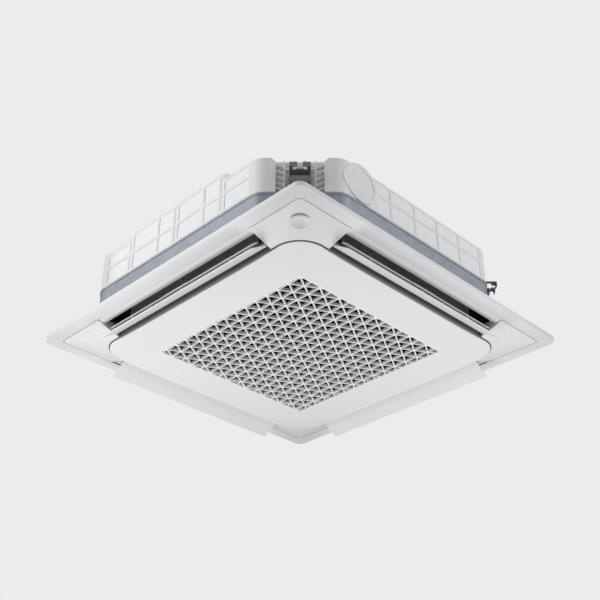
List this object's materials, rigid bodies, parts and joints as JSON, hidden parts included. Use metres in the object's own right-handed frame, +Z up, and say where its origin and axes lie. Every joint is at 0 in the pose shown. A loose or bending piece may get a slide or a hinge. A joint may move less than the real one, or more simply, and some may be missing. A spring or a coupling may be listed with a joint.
{
  "type": "ceiling cassette air conditioner",
  "caption": "Square ceiling cassette unit: ribbed body with corner hanger brackets, flat white panel with a triangular-lattice suction grille and a swinging air vane along each side.",
  "frame": {"origin": "centre of the four hanger brackets, on the plane of their upper faces", "axes": "+Z up, X and Y along the panel's sides; the picture's near corner is at -X, -Y, the pipes leave towards +X and the drain socket towards +Y"},
  "size_m": [0.95, 0.95, 0.2794],
  "materials": {
    "white_casing": "moulded satin white",
    "galvanised": "galvanised sheet",
    "black_foam": "closed-cell foam",
    "dark_liner": "dark grey matt",
    "dark_steel": "dark grey coat",
    "zinc_plated": "zinc plated",
    "panel_white": "soft gloss white",
    "pierced_white": "finely textured white",
    "vane_white": "finely textured white",
    "smoked_lens": "smoked clear plastic",
    "circuit_green": "solder mask",
    "grille_white": "satin white",
    "grey_plastic": "satin grey",
    "filter_net": "fine dark net",
    "motor_steel": "plated can",
    "pan_foam": "moulded foam with a dark skin",
    "aluminium_fins": "stacked fins",
    "copper": "drawn copper tube",
    "fan_plastic": "dark grey moulding",
    "motor_black": "black coat",
    "rubber_black": "soft rubber",
    "black_plastic": "black moulding",
    "brass_nut": "machined brass"
  },
  "bodies": {
    "root": {"upper_casing": "white_casing", "lower_band": "galvanised", "foam_insulation": "black_foam", "duct_liners": "dark_liner", "top_plate": "galvanised", "hanger_brackets": "dark_steel", "bracket_screws": "zinc_plated", "knockout_disc": "white_casing", "panel_frame": "panel_white", "indicator_lenses": "smoked_lens", "display_board": "circuit_green", "panel_screws": "zinc_plated", "hinge_arms": "grey_plastic", "vane_bearings": "grey_plastic", "vane_motors": "motor_steel", "latch_housings": "grey_plastic", "drain_pan": "pan_foam", "heat_exchanger": "aluminium_fins", "coil_end_plates": "galvanised", "return_bends": "copper", "bell_mouth": "grey_plastic", "fan_motor": "motor_black", "motor_bushes": "rubber_black", "drain_pump": "grey_plastic", "drain_outlet": "black_plastic", "float_switch": "black_plastic", "gas_pipe": "copper", "liquid_pipe": "copper", "flare_nuts": "brass_nut", "pipe_plate": "galvanised", "control_box": "galvanised", "control_box_cover": "galvanised", "circuit_board": "circuit_green", "terminal_blocks": "black_plastic", "air_sensor": "black_plastic", "corner_cover_back_right": "pierced_white", "corner_cover_back_left": "pierced_white", "corner_cover_front_left": "pierced_white", "corner_cover_front_right": "pierced_white"},
    "fan": {"fan_wheel": "fan_plastic", "motor_shaft": "zinc_plated", "hub_nut": "zinc_plated"},
    "suction_door": {"suction_panel": "panel_white", "suction_grille": "grille_white", "hinge_pins": "zinc_plated", "latch_strikers": "panel_white"},
    "filter": {"filter_frame": "grey_plastic", "filter_mesh": "filter_net"},
    "plunger_1": {"latch_plunger_1": "grey_plastic"},
    "plunger_2": {"latch_plunger_2": "grey_plastic"},
    "pump_rotor": {"pump_rotor": "fan_plastic"},
    "float": {"float_ring": "panel_white"},
    "vane_right": {"vane_right": "vane_white", "upper_blade_right": "grille_white"},
    "vane_back": {"vane_back": "vane_white", "upper_blade_back": "grille_white"},
    "vane_left": {"vane_left": "vane_white", "upper_blade_left": "grille_white"},
    "vane_front": {"vane_front": "vane_white", "upper_blade_front": "grille_white"}
  },
  "joints": [
    {"name": "fan_spin", "type": "hinge", "parent": "root", "child": "fan", "pos_m": [0, 0, -0.052], "axis": [0, 0, 1], "continuous": true},
    {"name": "vane_right_swing", "type": "hinge", "parent": "root", "child": "vane_right", "pos_m": [0.384, 0, -0.18415], "axis": [0, -1, 0], "range_deg": [-8, 52]},
    {"name": "vane_back_swing", "type": "hinge", "parent": "root", "child": "vane_back", "pos_m": [0, 0.384, -0.18415], "axis": [1, 0, 0], "range_deg": [-8, 52]},
    {"name": "vane_left_swing", "type": "hinge", "parent": "root", "child": "vane_left", "pos_m": [-0.384, 0, -0.18415], "axis": [0, 1, 0], "range_deg": [-8, 52]},
    {"name": "vane_front_swing", "type": "hinge", "parent": "root", "child": "vane_front", "pos_m": [0, -0.384, -0.18415], "axis": [-1, 0, 0], "range_deg": [-8, 52]},
    {"name": "suction_door_swing", "type": "hinge", "parent": "root", "child": "suction_door", "pos_m": [0.363, 0, -0.197], "axis": [0, -1, 0], "range_deg": [0, 88]},
    {"name": "filter_slide", "type": "slide", "parent": "suction_door", "child": "filter", "axis": [-1, 0, 0], "range_m": [0, 0.065]},
    {"name": "plunger_1_press", "type": "slide", "parent": "root", "child": "plunger_1", "axis": [0, 0, 1], "range_m": [0, 0.004], "stiffness_N_per_m": 300},
    {"name": "plunger_2_press", "type": "slide", "parent": "root", "child": "plunger_2", "axis": [0, 0, 1], "range_m": [0, 0.004], "stiffness_N_per_m": 300},
    {"name": "pump_rotor_spin", "type": "hinge", "parent": "root", "child": "pump_rotor", "pos_m": [0.212, 0.3275, -0.107], "axis": [0, 0, 1], "continuous": true},
    {"name": "float_rise", "type": "slide", "parent": "root", "child": "float", "axis": [0, 0, 1], "range_m": [0, 0.012]}
  ]
}
